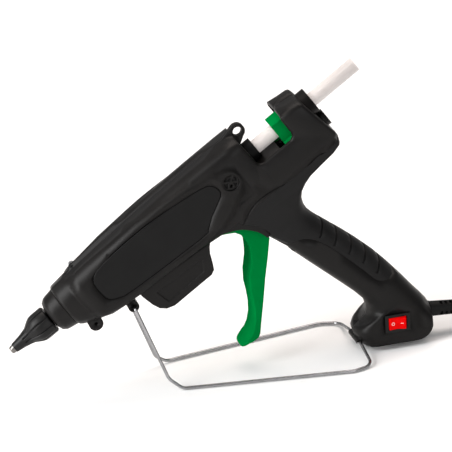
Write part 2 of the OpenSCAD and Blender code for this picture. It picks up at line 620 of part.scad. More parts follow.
// ---- trigger ----
hub_r = 7;
cheek_in = sleeve_r + 0.6;
blade_line = [[143.9, -123.4], [147.3, -124.1], [152.3, -124.3], [155.5, -122.3], [161.5, -115.6], [173.2, -102.9],
    [187.4, -86.9], [198.7, -75.1], [209.8, -62.8], [214, -54], [215.3, -46], [215.3, -36], [219, -22],
    [pivot[0] + hub_r, -16], [203, -16], [196, -17.3], [181, -17.4], [178.5, -22], [178.5, -29], [181, -33],
    [186.5, -36.3], [191.9, -39.9], [194.4, -44.6], [194.8, -51], [193.5, -58.8], [190.2, -64.6], [186.2, -70.4],
    [177.9, -79.2], [172.1, -87.8], [168.6, -95.8], [164.4, -104], [159.2, -111.5], [153.2, -117.2], [148.7, -119.7],
    [143.9, -121], [138.5, -121.6], [136.8, -122.6], [138, -123.6]];
toe_line = [[136.4, -3], [137.4, -7], [140, -10], [144.5, -trigger_w], [300, -trigger_w], [300, trigger_w],
    [144.5, trigger_w], [140, 10], [137.4, 7], [136.4, 3]];
// The blade is hollow behind the finger, open to the rear.
hollow_line = [[226, -51], [206, -51], [199, -53], [200, -62], [192.6, -73], [173, -103], [163, -113.6], [175, -113.6],
    [226, -64]];
arm_line = [[pivot[0] - hub_r, -17], [pivot[0] - hub_r, pivot[1]], drive_pin + [-4.2, -1], drive_pin + [-4.2, 2],
    drive_pin + [-2, 4.2], drive_pin + [2, 4.2], drive_pin + [4.2, 2], [pivot[0] + hub_r, pivot[1]], [pivot[0] + hub_r, -17]];
module trigger() color("#0f9a4c") {
    difference() {
        union() {
            intersection() {
                plate(-trigger_w, trigger_w) polygon(blade_line);
                translate([0, 0, -140]) linear_extrude(140) polygon(toe_line);
            }
            both_sides() {
                plate(cheek_in, trigger_w) polygon(arm_line);
                rod(pivot, hub_r, cheek_in, trigger_w);
            }
        }
        both_sides() rod(pivot, axle_r + play, cheek_in - over, trigger_w + over);
        plate(2.6 - trigger_w, trigger_w - 2.6) polygon(hollow_line);
    }
    both_sides() rod(drive_pin, drive_r, trigger_w - over, rail_out);
}
module pivot_plugs() color("#262524") both_sides() {
    face = panel_face - 0.4;
    difference() {
        rod(plug_centre, plug_r, plug_in, face);
        difference() {
            rod(plug_centre, plug_r - 1.2, face - 1.6, face + over);
            rod(pivot, 2.8, face - 3, face + 2 * over);
            for (a = [35, 145, 215, 325]) translate([plug_centre[0], face - 3, plug_centre[1]]) rotate([0, -a, 0])
                translate([0, 0, -0.7]) cube([plug_r, 5, 1.4]);
        }
        rod(pivot, 1.4, face - 4, face + over);
    }
    rod(pivot, axle_r, cheek_in, plug_in + eps);
}
module return_spring() color("#b9bcc0") {
    n = spring_turns * 12;
    tube([for (i = [0 : n]) let (a = 30 * i)
        [spring_start + spring_wire_r + (spring_end - spring_start - 2 * spring_wire_r) * i / n,
        spring_r * cos(a), spring_v + spring_r * sin(a)]], spring_wire_r, 6, [1, 0, 0]);
}

// ---- stand, in the base frame ----
wire_sides = 10;
bent_r = wire_r / cos(180 / wire_sides) + 0.01;   // the bent wire's corners, so that its flats lie at wire_r
floor_z = bent_r + 0.01;
stand_bend = 3;
stand_side = [[stand_hinge[0], boss_w + 0.4, stand_hinge[1]], [stand_hinge[0], boss_w + 4.6, stand_hinge[1]],
    [stand_hinge[0] + 21.5, 22.4, 9], [stand_hinge[0] + 31, stand_front_w, floor_z], [93, stand_rear_w, floor_z],
    [105.6, stand_rear_w - 4, floor_z], [109.4, stand_rear_w - 10, 2.2], [stand_bar[0], 16, stand_bar[1]]];
stand_far = [for (i = [len(stand_side) - 1 : -1 : 0]) [stand_side[i][0], -stand_side[i][1], stand_side[i][2]]];
module wire_stand() color("#c4c7ca") {
    tube(rounded(concat(stand_side, stand_far), stand_bend, 3), bent_r, wire_sides, [1, 0, 0]);
    both_sides() translate([stand_hinge[0], boss_w + 0.9, stand_hinge[1]]) rotate([90, 0, 0])
        cylinder(r = wire_r, h = boss_w + 0.9 - boss_in - clear);
}

// ---- electrical ----
rocker_play = 0.3;
module switch_body() color("#171717") difference() {
    union() {
        switch_box(switch_l, switch_h, switch_seat, switch_seat + bezel_t);
        switch_box(switch_l - 2, switch_h - 2, switch_seat - switch_depth, switch_seat);
    }
    switch_box(rocker_l, rocker_h + 2 * rocker_play, switch_seat - rocker_in - rocker_r - rocker_play, 40);
    at_switch() translate([0, switch_seat - rocker_in, -rocker_h / 2 - 1.4]) cylinder(r = 1.2 + play, h = rocker_h + 2.8);
}
module switch_rocker() color("#c23a34") at_switch() translate([0, switch_seat - rocker_in, 0]) {
    difference() {
        translate([0, 0, -rocker_h / 2]) cylinder(r = rocker_r, h = rocker_h);
        rotate([0, 0, rocker_tilt]) both_lobes() translate([0, bezel_t + rocker_in + 0.4, -rocker_h])
            rotate([0, 0, 12]) cube([20, 20, 2 * rocker_h]);
    }
    translate([0, 0, -rocker_h / 2 - 1.2]) cylinder(r = 1.2, h = rocker_h + 2.4);
}
module both_lobes() for (s = [0, 1]) mirror([s, 0, 0]) children();
module terminal_block() color("#cfc7b4") difference() {
    translate([block_at[0] - block_size[0] / 2, -block_size[1] / 2, block_at[1] - block_size[2] / 2]) cube(block_size);
    for (k = [-1, 0, 1]) translate([block_at[0] - 20, 0, block_at[1] + 10 * k]) rotate([0, 90, 0]) cylinder(r = 2, h = 40);
    for (k = [-1, 0, 1]) rod(block_at + [0, 10 * k], 1.8, 0, 20);
}
module housing_screws() color("#7d8084") for (s = screw_at) {
    rod(s, screw_r, -8, head_seat + eps);
    difference() {
        rod(s, screw_head_r, head_seat, head_seat + 2.2);
        for (a = [0, 90]) translate([s[0], head_seat + 1, s[1]]) rotate([0, a, 0])
            translate([-1.8, 0, -0.4]) cube([3.6, 2, 0.8]);
    }
}
relief_flange_r = 7;
module at_relief() at_gland() rotate([0, relief_dip, 0]) children();
module strain_relief() color("#1b1b1b") difference() {
    union() {
        at_gland() translate([0, 0, -wall - 2]) cylinder(r = gland_r - play, h = wall + 4);
        at_gland() translate([0, 0, -wall - 2.4]) cylinder(r = relief_flange_r - 1, h = 2);
        at_gland() cylinder(r = relief_flange_r, h = 3);
        at_relief() translate([0, 0, 1]) cylinder(r1 = relief_r, r2 = relief_r - 0.8, h = relief_l - 1);
    }
    at_gland() translate([0, 0, -wall - 3]) cylinder(r = cord_r + 0.4, h = wall + 5);
    at_relief() cylinder(r = cord_r, h = relief_l + 2);
    for (i = [0 : 6]) at_relief() translate([0, 0, 7 + 4.4 * i]) rotate([0, 0, 90 * (i % 2)])
        both_lobes() translate([cord_r + 0.9, -8, 0]) cube([4, 16, 1.8]);
}
// Brown and blue leads from the gland up to the terminal block, in the gun frame.
lead_at = [[264.7, -205.4], [261, -202.8], [258.6, -198], [257.4, -190.5], [256.6, -182], [255, -172], [252, -160],
    [block_at[0] + 2, -153], [block_at[0] + 2, block_at[1] - block_size[2] / 2]];
lead_r = 1.3;
module supply_leads() color("#5a3a2a") for (y = [-1.7, 1.7]) tube([for (p = lead_at) [p[0], y, p[1]]], lead_r, 8, [0, 1, 0]);

// ---- cord: route in the base frame, from the strain relief to the coil and on to the plug ----
relief_end = [heel_x + relief_l * cos(relief_dip), 0, base_of(gland_at)[1] - relief_l * sin(relief_dip)];
lead_route = [[218, 0, 16.9], [228, 0, 15], [238, 0, 12.5], [248, 0, 9.9], [258, 0, 7.4], [268, 0, 5.3], [278, 0, 4], [283, 0, 3.7]];
tail_route = [[288, -87, 24.6], [280, -87, 24.6], [272, -87, 23.7], [264, -87, 20.6], [257, -87, 15.9], [250, -87, 11.1],
    [242, -87, 8], [235, -87, 7.1], [233, -87, 7.1]];
coil_at = [290, -43.5];
coil_columns = [36.5, 43.5];
coil_layers = 4;
plug_at = [227, -87, 7.1];
module lead_pipe(p) tube([for (i = [0 : len(p) - 1]) p[i]], cord_r, 10);
module cord_lead() color("#161616") lead_pipe(concat([relief_end], lead_route));
module cord_tail() color("#161616") lead_pipe(tail_route);
module cord_coil() color("#161616") translate([coil_at[0], coil_at[1], 0]) rotate_extrude()
    translate([coil_columns[0] - cord_r, 0]) square([coil_columns[1] - coil_columns[0] + cord_d, coil_layers * cord_d]);
// Flat two-pin plug without earth, pins away from the cord.
plug_w = 26;
plug_t = 14;
plug_l = 38;
pin_r = 2;
pin_l = 19;
pin_pitch = 18.6;
module at_plug() translate(plug_at) rotate([0, -90, 0]) rotate([0, 0, 90]) children();
module plug() color("#161616") at_plug() difference() {
    union() {
        translate([0, 0, -6]) cylinder(r1 = cord_r + 1, r2 = 6.4, h = 14);
        translate([-plug_w / 2 + 6, -plug_t / 2, 6]) cube([plug_w - 12, plug_t, plug_l - 6]);
        for (s = [-1, 1]) translate([s * (plug_w / 2 - 6), 0, 6]) cylinder(r = plug_t / 2, h = plug_l - 6);
    }
    for (s = [-1, 1]) translate([s * pin_pitch / 2, 0, plug_l - 6]) cylinder(r = pin_r - 0.4, h = 7);
}
module plug_pins() color("#b8a468") at_plug() for (s = [-1, 1]) translate([s * pin_pitch / 2, 0, plug_l - 6]) {
    cylinder(r = pin_r - 0.4, h = 6 + eps);
    translate([0, 0, 6]) cylinder(r = pin_r, h = pin_l - pin_r);
    translate([0, 0, pin_l + 6 - pin_r]) sphere(r = pin_r);
}

gun() housing_left();
gun() housing_right();
gun() mirror([0, 1, 0]) side_panel();  // side_panel_left
gun() side_panel();  // side_panel_right
gun() soft_grip();
gun() lower_cover();
gun() front_cap();
gun() nozzle();
gun() nozzle_boot();
gun() melt_chamber();
gun() chamber_insulation();
gun() heating_cartridges();
gun() thermostat();
gun() inlet_sleeve();
gun() glue_stick();
gun() feed_carriage();
gun() stick_gripper();
gun() stick_collar();
gun() feed_adjuster();
gun() trigger();
gun() pivot_plugs();
gun() return_spring();
wire_stand();
gun() mirror([0, 1, 0]) switch_body();
gun() mirror([0, 1, 0]) switch_rocker();
gun() terminal_block();
gun() housing_screws();
gun() supply_leads();
gun() strain_relief();
cord_lead();
cord_coil();
cord_tail();
plug();
plug_pins();
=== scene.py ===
import json
import math
import bmesh
import bpy
from mathutils import Matrix, Vector

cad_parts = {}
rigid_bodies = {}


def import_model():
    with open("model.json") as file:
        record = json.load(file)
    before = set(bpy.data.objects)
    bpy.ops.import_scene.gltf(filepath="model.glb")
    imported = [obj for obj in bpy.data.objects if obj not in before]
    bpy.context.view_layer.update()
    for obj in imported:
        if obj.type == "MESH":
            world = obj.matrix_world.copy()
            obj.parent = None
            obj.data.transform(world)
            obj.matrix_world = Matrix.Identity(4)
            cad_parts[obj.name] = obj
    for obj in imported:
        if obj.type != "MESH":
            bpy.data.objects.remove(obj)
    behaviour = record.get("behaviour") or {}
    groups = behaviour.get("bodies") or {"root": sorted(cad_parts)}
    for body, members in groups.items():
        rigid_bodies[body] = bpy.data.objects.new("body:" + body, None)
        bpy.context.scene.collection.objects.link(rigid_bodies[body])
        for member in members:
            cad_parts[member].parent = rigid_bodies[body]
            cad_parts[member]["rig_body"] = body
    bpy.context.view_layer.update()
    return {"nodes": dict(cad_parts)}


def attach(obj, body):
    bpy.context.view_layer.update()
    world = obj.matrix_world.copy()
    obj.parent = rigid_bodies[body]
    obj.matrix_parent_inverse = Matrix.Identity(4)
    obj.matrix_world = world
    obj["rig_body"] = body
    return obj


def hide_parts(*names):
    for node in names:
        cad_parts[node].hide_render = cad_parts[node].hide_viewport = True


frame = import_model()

mm = 0.001

shot = {
    "azimuth": 13.8, "elevation": 22.4, "roll": 3.7, "distance": 2.2,
    "lens": 224.0, "sensor": 36, "farthest": 50, "target": (0.0097, 0.0054, 0.1182),
}


def addCamera(s):
    az, el, roll = (math.radians(s[k]) for k in ("azimuth", "elevation", "roll"))
    back = Vector((-math.sin(az) * math.cos(el), -math.cos(az) * math.cos(el), math.sin(el)))
    level = Vector((math.cos(az), -math.sin(az), 0))
    above = back.cross(level)
    right = level * math.cos(roll) - above * math.sin(roll)
    up = above * math.cos(roll) + level * math.sin(roll)
    cam = bpy.data.objects.new("camera", bpy.data.cameras.new("camera"))
    bpy.context.scene.collection.objects.link(cam)
    place = Matrix((right, up, back)).transposed().to_4x4()
    place.translation = Vector(s["target"]) + back * s["distance"]
    cam.matrix_world = place
    cam.data.lens = s["lens"]
    cam.data.sensor_width = s["sensor"]
    cam.data.clip_end = s["farthest"]
    bpy.context.scene.camera = cam


addCamera(shot)
print("camera ready")


def newObject(name, mesh):
    obj = bpy.data.objects.new(name, mesh)
    bpy.context.scene.collection.objects.link(obj)
    return obj


def smoothByAngle(mesh, degrees):
    mesh.shade_smooth()
    mesh.set_sharp_from_angle(angle=math.radians(degrees))


class Graph:
    # a material's node tree, with the few steps that every finish here shares
    def __init__(self, name):
        self.mat = bpy.data.materials.new(name)
        self.mat.use_nodes = True
        self.tree = self.mat.node_tree
        self.shader = self.tree.nodes["Principled BSDF"]
        self.coords = self.add("ShaderNodeTexCoord")

    def add(self, kind, **values):
        node = self.tree.nodes.new(kind)
        for key, value in values.items():
            if hasattr(node, key):
                setattr(node, key, value)
            else:
                node.inputs[key].default_value = value
        return node

    def link(self, a, b):
        self.tree.links.new(a, b)

    def noise(self, scale, detail, rough=0.5):
        n = self.add("ShaderNodeTexNoise", Scale=scale, Detail=detail, Roughness=rough)
        self.link(self.coords.outputs["Object"], n.inputs["Vector"])
        return n.outputs["Fac"]

    def spread(self, value, low, high):
        # most of a noise lies between 0.3 and 0.7
        r = self.add("ShaderNodeMapRange")
        for key, v in (("From Min", 0.3), ("From Max", 0.7), ("To Min", low), ("To Max", high)):
            r.inputs[key].default_value = v
        self.link(value, r.inputs["Value"])
        return r.outputs["Result"]

    def blend(self, factor, a, b):
        m = self.add("ShaderNodeMix", data_type="RGBA")
        m.inputs["A"].default_value = (*a, 1)
        m.inputs["B"].default_value = (*b, 1)
        self.link(factor, m.inputs["Factor"])
        return m.outputs["Result"]

    def bump(self, height, strength, distance, under):
        b = self.add("ShaderNodeBump")
        b.inputs["Strength"].default_value = strength
        b.inputs["Distance"].default_value = distance
        self.link(height, b.inputs["Height"])
        self.link(under, b.inputs["Normal"])
        return b.outputs["Normal"]

    def tint(self, scale, dark, light, detail=2):
        # a colour that wanders between two shades
        cloud = self.noise(scale, detail)
        self.link(self.blend(self.spread(cloud, 0, 1), dark, light), self.shader.inputs["Base Color"])
        return cloud

    def put(self, **values):
        for key, value in values.items():
            self.shader.inputs[key.replace("_", " ")].default_value = value

    def softEdge(self, radius):
        e = self.add("ShaderNodeBevel")
        e.samples = 6
        e.inputs["Radius"].default_value = radius
        return e.outputs["Normal"]


def mouldedPlastic(name, look):
    g = Graph(name)
    cloud = g.tint(look["cloud"], look["dark"], look["light"], 3)
    grain = g.noise(look["grain"], 2, 0.6)
    g.link(g.spread(cloud, look["rough"] - 0.04, look["rough"] + 0.05), g.shader.inputs["Roughness"])
    edge = g.softEdge(look["edge"])
    g.link(g.bump(grain, look["bump"], look["depth"], edge), g.shader.inputs["Normal"])
    g.put(Specular_IOR_Level=look.get("gloss", 0.5))
    return g.mat


looks = {
    "housing": {
        "dark": (0.0048, 0.0044, 0.0043), "light": (0.007, 0.0064, 0.0061),
        "rough": 0.4, "gloss": 0.15, "cloud": 40, "grain": 2600, "bump": 0.3, "depth": 0.00006, "edge": 0.0018,
    },
    "panel": {
        "dark": (0.0062, 0.0061, 0.0062), "light": (0.008, 0.008, 0.008),
        "rough": 0.4, "gloss": 0.1, "cloud": 50, "grain": 3200, "bump": 0.2, "depth": 0.00004, "edge": 0.0006,
    },
    "grip": {
        "dark": (0.0065, 0.0064, 0.0065), "light": (0.009, 0.0088, 0.009),
        "rough": 0.5, "gloss": 0.14, "cloud": 60, "grain": 2200, "bump": 0.4, "depth": 0.00008, "edge": 0.0008,
    },
    "green": {
        "dark": (0.0, 0.145, 0.028), "light": (0.0, 0.175, 0.035),
        "rough": 0.42, "gloss": 0.0, "cloud": 45, "grain": 2800, "bump": 0.22, "depth": 0.00005, "edge": 0.0008,
    },
    "boot": {
        "dark": (0.005, 0.005, 0.005), "light": (0.007, 0.0068, 0.0068),
        "rough": 0.4, "gloss": 0.2, "cloud": 70, "grain": 2400, "bump": 0.35, "depth": 0.00008, "edge": 0.0005,
    },
    "switchBlack": {
        "dark": (0.0025, 0.0025, 0.0025), "light": (0.004, 0.004, 0.004),
        "rough": 0.35, "gloss": 0.2, "cloud": 70, "grain": 3600, "bump": 0.15, "depth": 0.00003, "edge": 0.0003,
    },
    "cord": {
        "dark": (0.004, 0.004, 0.004), "light": (0.006, 0.006, 0.006),
        "rough": 0.5, "gloss": 0.15, "cloud": 80, "grain": 1800, "bump": 0.3, "depth": 0.00006, "edge": 0.0004,
    },
    "terminal": {
        "dark": (0.5, 0.47, 0.38), "light": (0.6, 0.57, 0.48),
        "rough": 0.5, "cloud": 80, "grain": 1800, "bump": 0.2, "depth": 0.00005, "edge": 0.0003,
    },
    "lead": {
        "dark": (0.1, 0.04, 0.02), "light": (0.14, 0.06, 0.03),
        "rough": 0.4, "cloud": 80, "grain": 1500, "bump": 0.2, "depth": 0.00004, "edge": 0.0002,
    },
    "sleeve": {
        "dark": (0.002, 0.002, 0.002), "light": (0.0035, 0.0035, 0.0035),
        "rough": 0.6, "gloss": 0.15, "cloud": 80, "grain": 1500, "bump": 0.2, "depth": 0.00004, "edge": 0.0004,
    },
    "insulation": {
        "dark": (0.5, 0.47, 0.4), "light": (0.66, 0.62, 0.54),
        "rough": 0.85, "cloud": 90, "grain": 900, "bump": 0.7, "depth": 0.0002, "edge": 0.0004,
    },
}
finishes = {name: mouldedPlastic(name, look) for name, look in looks.items()}


def drawnMetal(name, colour, rough, grain):
    g = Graph(name)
    lines = g.noise(grain, 2, 0.6)
    g.tint(120, [c * 0.78 for c in colour], colour, 3)
    g.link(g.spread(lines, rough - 0.06, rough + 0.08), g.shader.inputs["Roughness"])
    g.put(Metallic=1)
    g.link(g.bump(lines, 0.15, 0.00003, g.softEdge(0.0003)), g.shader.inputs["Normal"])
    return g.mat


metals = {
    "wire": ("platedWire", (0.36, 0.36, 0.37), 0.22, 900),
    "nozzleMetal": ("nozzleMetal", (0.2, 0.19, 0.18), 0.34, 1500),
    "steel": ("steel", (0.55, 0.56, 0.58), 0.34, 1500),
    "alloy": ("castAlloy", (0.66, 0.66, 0.68), 0.45, 1200),
    "brass": ("brass", (0.72, 0.58, 0.32), 0.3, 1500),
}
for finish, made in metals.items():
    finishes[finish] = drawnMetal(*made)


def glueWithPaintedGlow():
    g = Graph("hotMeltPaintedGlow")
    g.tint(90, (0.5, 0.465, 0.45), (0.54, 0.505, 0.49), 3)
    streak = g.noise(500, 2, 0.6)
    # the emission is a painted glow that evens out and brightens the stick's shading; the subsurface on the
    # next line is its real translucency
    g.put(Roughness=0.55, Specular_IOR_Level=0.1, Emission_Color=(1, 0.94, 0.92, 1), Emission_Strength=0.2)
    g.put(Subsurface_Weight=1, Subsurface_Radius=(1, 1, 1), Subsurface_Scale=0.008)
    g.link(g.bump(streak, 0.05, 0.00002, g.softEdge(0.0004)), g.shader.inputs["Normal"])
    return g.mat


def rockerRedPaintedGlow():
    # the rocker's red with a faint emission, a painted glow that brightens it though nothing lights it from
    # inside
    g = Graph("rockerRedPaintedGlow")
    cloud = g.tint(300, (0.5, 0.001, 0.0012), (0.62, 0.0016, 0.0018))
    g.put(Roughness=0.3, Specular_IOR_Level=0.02, Emission_Color=(0.9, 0.001, 0.002, 1), Emission_Strength=0.12)
    g.link(g.bump(cloud, 0.05, 0.00003, g.softEdge(0.0004)), g.shader.inputs["Normal"])
    return g.mat


def markPaint():
    g = Graph("markPaint")
    g.tint(900, (0.8, 0.5, 0.48), (0.9, 0.66, 0.63))
    g.put(Roughness=0.4)
    return g.mat


finishes["glue"] = glueWithPaintedGlow()
finishes["rockerRedPaintedGlow"] = rockerRedPaintedGlow()
finishes["markPaint"] = markPaint()
print("finishes ready")

# the cord's route as in the solids, in millimetres
cordLead = {
    "exit": (209.01, 0.0, 17.92), "diameter": 7.0,
    "lead": [(218, 0, 16.9), (228, 0, 15), (238, 0, 12.5), (248, 0, 9.9),
             (258, 0, 7.4), (268, 0, 5.3), (278, 0, 4), (284, 0, 3.6)],
    "tail": [(280, -87, 24.6), (272, -87, 23.7), (264, -87, 20.6), (257, -87, 15.9),
             (250, -87, 11.1), (242, -87, 8), (235, -87, 7.1), (231, -87, 7.1)],
    "coil": (290, -43.5), "columns": (43.5, 36.5), "slots": 8, "lastTurn": 0.5,
    "stepsPerTurn": 24, "shift": 0.16, "rise": 0.05,
}


def coilPoints(c):
    # the cord fills the ring turn by turn: outer, inner, then up a layer, and so on
    outer, inner = c["columns"]
    turns = [((outer, inner, inner, outer)[k % 4], c["diameter"] * (k // 2 + 0.5)) for k in range(c["slots"])]
    points = []
    steps = round((c["slots"] - 1 + c["lastTurn"]) * c["stepsPerTurn"])
    for i in range(steps + 1):
        k, part = divmod(i / c["stepsPerTurn"], 1)
        (r0, z0), (r1, z1) = turns[int(k)], turns[min(int(k) + 1, c["slots"] - 1)]
        t = max(0.0, (part - 1 + c["shift"]) / c["shift"])
        t = t * t * (3 - 2 * t)
        a = math.radians(90 - 360 * i / c["stepsPerTurn"])
        r = r0 + (r1 - r0) * t
        z = z0 + (z1 - z0) * t + c["rise"]
        points.append((c["coil"][0] + r * math.cos(a), c["coil"][1] + r * math.sin(a), z))
    return points


def addCord(c, endPiece):
    route = [c["exit"]] + c["lead"] + coilPoints(c) + c["tail"]
    curve = bpy.data.curves.new("mainsCord", "CURVE")
    curve.dimensions = "3D"
    curve.bevel_depth = c["diameter"] / 2 * mm
    curve.bevel_resolution = 3
    curve.use_fill_caps = True
    line = curve.splines.new("POLY")
    line.points.add(len(route) - 1)
    for p, q in zip(line.points, route):
        p.co = (q[0] * mm, q[1] * mm, q[2] * mm, 1)
    line.use_smooth = True
    cord = newObject("mainsCord", curve)
    curve.materials.append(finishes["cord"])
    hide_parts("cord_lead", "cord_coil", "cord_tail")
    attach(cord, "gun_body")



def dressed(node, finish, smooth, bevel, segments=2, flatten=False):
    # a merged copy of the solid, shaded smooth up to an angle, with its hard edges rounded off
    source = frame["nodes"][node]
    mesh = source.data.copy()
    mesh.materials.clear()
    work = bmesh.new()
    work.from_mesh(mesh)
    bmesh.ops.remove_doubles(work, verts=work.verts, dist=2e-6)
    if flatten:
        bmesh.ops.dissolve_limit(work, angle_limit=math.radians(0.5), verts=work.verts, edges=work.edges)
    work.to_mesh(mesh)
    work.free()
    name = "".join(w if i == 0 else w.capitalize() for i, w in enumerate(node.split("_"))) + "Skin"
    obj = newObject(name, mesh)
    mesh.materials.append(finishes[finish])
    if bevel:
        b = obj.modifiers.new("roundEdges", "BEVEL")
        b.width = bevel
        b.segments = segments
        b.limit_method = "ANGLE"
        b.angle_limit = math.radians(32)
        b.harden_normals = False
    smoothByAngle(mesh, smooth)
    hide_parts(node)
    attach(obj, source["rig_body"])
    return obj


# node, finish, slot and the width of the rounded edges
shells = [
    ("housing_left", "housing", "housing", 0), ("housing_right", "housing", "housing", 0),
    ("soft_grip", "grip", "grip", 0.7), ("front_cap", "housing", "housing", 0),
    ("nozzle_boot", "boot", "boot", 0), ("wire_stand", "wire", "wire", 0),
    ("nozzle", "nozzleMetal", "nozzle_metal", 0), ("glue_stick", "glue", "glue", 0),
    ("stick_collar", "housing", "housing", 0), ("feed_adjuster", "housing", "housing", 0),
    ("pivot_plugs", "housing", "housing", 0), ("inlet_sleeve", "sleeve", "sleeve", 0),
    ("return_spring", "steel", "steel", 0),
]
blocks = [
    ("side_panel_left", "panel", "panel", 0.5), ("side_panel_right", "panel", "panel", 0.5),
    ("lower_cover", "housing", "housing", 0.8), ("trigger", "green", "green", 2.2),
    ("feed_carriage", "green", "green", 0.5), ("switch_body", "switchBlack", "switch", 0.4),
    ("switch_rocker", "rockerRedPaintedGlow", "rocker", 0.4),
]
plain = {
    "melt_chamber": "alloy", "chamber_insulation": "insulation", "heating_cartridges": "steel",
    "thermostat": "brass", "terminal_block": "terminal", "housing_screws": "steel",
    "supply_leads": "lead", "stick_gripper": "steel", "plug": "cord", "plug_pins": "brass",
}
smoothest = {"shell": 38, "block": 40}
skins = {}
for node, finish, slotName, bevel in shells:
    skins[node] = dressed(node, finish, smoothest["shell"], bevel * mm)
for node, finish, slotName, bevel in blocks:
    skins[node] = dressed(node, finish, smoothest["block"], bevel * mm, segments=3, flatten=True)
for node, finish in plain.items():
    obj = frame["nodes"][node]
    obj.data.materials.clear()
    obj.data.materials.append(finishes[finish])
print("pieces dressed")

gunFrame = {"tip": (-169.5, 45.0), "pitch": 33.8}


def fromGun(u, v, y):
    # a place along the barrel, above the stick and across, in metres in the base frame
    pitch = math.radians(gunFrame["pitch"])
    x = gunFrame["tip"][0] + u * math.cos(pitch) - v * math.sin(pitch)
    z = gunFrame["tip"][1] + u * math.sin(pitch) + v * math.cos(pitch)
    return Vector((x, y, z)) * mm


def smoothLine(knots, steps):
    # a smooth (Catmull-Rom) curve through a few knots, as places in u and v
    ends = [knots[0]] + list(knots) + [knots[-1]]
    line = []
    for a, b, c, d in zip(ends, ends[1:], ends[2:], ends[3:]):
        for t in (k / steps for k in range(steps)):
            line.append(tuple(
                (2 * b[n] + (c[n] - a[n]) * t + (2 * a[n] - 5 * b[n] + 4 * c[n] - d[n]) * t * t
                 + (3 * b[n] - a[n] - 3 * c[n] + d[n]) * t ** 3) / 2
                for n in (0, 1)
            ))
    return line + [tuple(knots[-1])]


def pushOut(work, face, shift):
    # raises a face into a block
    grown = bmesh.ops.extrude_face_region(work, geom=[face])
    moved = [v for v in grown["geom"] if isinstance(v, bmesh.types.BMVert)]
    bmesh.ops.translate(work, verts=moved, vec=shift)


def meshOf(name, work):
    mesh = bpy.data.meshes.new(name)
    work.to_mesh(mesh)
    work.free()
    return mesh


def gunPlate(name, outline, low, high):
    # a flat outline in u and v, standing from one y to another
    work = bmesh.new()
    base = work.faces.new([work.verts.new(fromGun(u, v, low)) for u, v in outline])
    pushOut(work, base, (0, (high - low) * mm, 0))
    bmesh.ops.recalc_face_normals(work, faces=work.faces)
    return newObject(name, meshOf(name, work))


def settle(obj, mod):
    # keeps what the modifier made as the object's own mesh
    made = bpy.data.meshes.new_from_object(obj.evaluated_get(bpy.context.evaluated_depsgraph_get()))
    obj.modifiers.remove(mod)
    obj.data = made


def cutAway(obj, cutter):
    # takes the cutter out of a piece and throws the cutter away
    mod = obj.modifiers.new("cut", "BOOLEAN")
    mod.operation = "DIFFERENCE"
    mod.solver = "EXACT"
    mod.object = cutter
    settle(obj, mod)
    bpy.data.objects.remove(cutter)


# the skirt that bridges barrel and handle over the trigger's root
skirt = {
    "knots": [(184.5, -31), (197, -38), (206, -49), (209, -58.5)], "steps": 5,
    "inner": [(212, -58), (212, -40), (200, -30), (184.6, -30)],
    "from": 13.2, "to": 18.9, "rounding": 1.6,
}


def addSkirt(c, name, side):
    low, high = sorted((side * c["from"], side * c["to"]))
    piece = gunPlate(name, smoothLine(c["knots"], c["steps"]) + c["inner"], low, high)
    piece.data.materials.append(finishes["housing"])
    rounding = piece.modifiers.new("roundEdges", "BEVEL")
    rounding.width = c["rounding"] * mm
    rounding.segments = 3
    rounding.angle_limit = math.radians(40)
    smoothByAngle(piece.data, 45)
    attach(piece, "gun_body")


addSkirt(skirt, "archSkirtNear", -1)
addSkirt(skirt, "archSkirtFar", 1)

# the head's upper front corner is rounded off
headCorner = {"at": (274.8, 16.6), "radius": 6.5, "steps": 8, "past": 3, "reach": 30}


def roundCorner(c, skin):
    (u0, v0), rad, past = c["at"], c["radius"], c["past"]
    turns = [math.radians(90 * k / c["steps"]) for k in range(c["steps"] + 1)]
    arc = [(u0 + rad - rad * math.cos(a), v0 - rad + rad * math.sin(a)) for a in turns]
    outline = [(u0 - past, v0 - rad)] + arc + [(u0 + rad, v0 + past), (u0 - past, v0 + past)]
    cutAway(skin, gunPlate("headCutter", outline, -c["reach"], c["reach"]))
    smoothByAngle(skin.data, smoothest["shell"])


roundCorner(headCorner, skins["housing_left"])
roundCorner(headCorner, skins["housing_right"])

# the seam where the grip's cover meets the head, a fine groove on each side
gripSeam = {
    "knots": [(292, -37), (280, -31), (256, -33), (231, -28), (215, -29), (198, -37)], "steps": 9,
    "half": 0.45, "deep": 1.1, "proud": 1, "outside": 60, "innermost": 10,
}


def addSeam(c, skin, side):
    # the cutter follows the surface, found by looking at it from outside
    section = ((-1, -c["deep"]), (1, -c["deep"]), (1, c["proud"]), (-1, c["proud"]))
    path = [Vector(p) for p in smoothLine(c["knots"], c["steps"])]
    cuts, last = bmesh.new(), None
    for k, here in enumerate(path):
        along = path[min(k + 1, len(path) - 1)] - path[max(k - 1, 0)]
        across = Vector((-along.y, along.x)).normalized() * c["half"]
        hit, spot, _, _ = skin.ray_cast(fromGun(here.x, here.y, side * c["outside"]), Vector((0, -side, 0)))
        if not hit or abs(spot.y) < c["innermost"] * mm:
            continue
        y = abs(spot.y) / mm
        ring = [cuts.verts.new(fromGun(*(here + across * w), side * (y + out))) for w, out in section]
        if last is None:
            cuts.faces.new(ring)
        else:
            for n in range(4):
                cuts.faces.new([last[n], last[(n + 1) % 4], ring[(n + 1) % 4], ring[n]])
        last = ring
    cuts.faces.new(last)
    bmesh.ops.recalc_face_normals(cuts, faces=cuts.faces)
    cutAway(skin, newObject("seamCutter", meshOf("seamCutter", cuts)))
    smoothByAngle(skin.data, smoothest["shell"])


addSeam(gripSeam, skins["housing_left"], -1)
addSeam(gripSeam, skins["housing_right"], 1)
print("skirt, head and seam shaped")

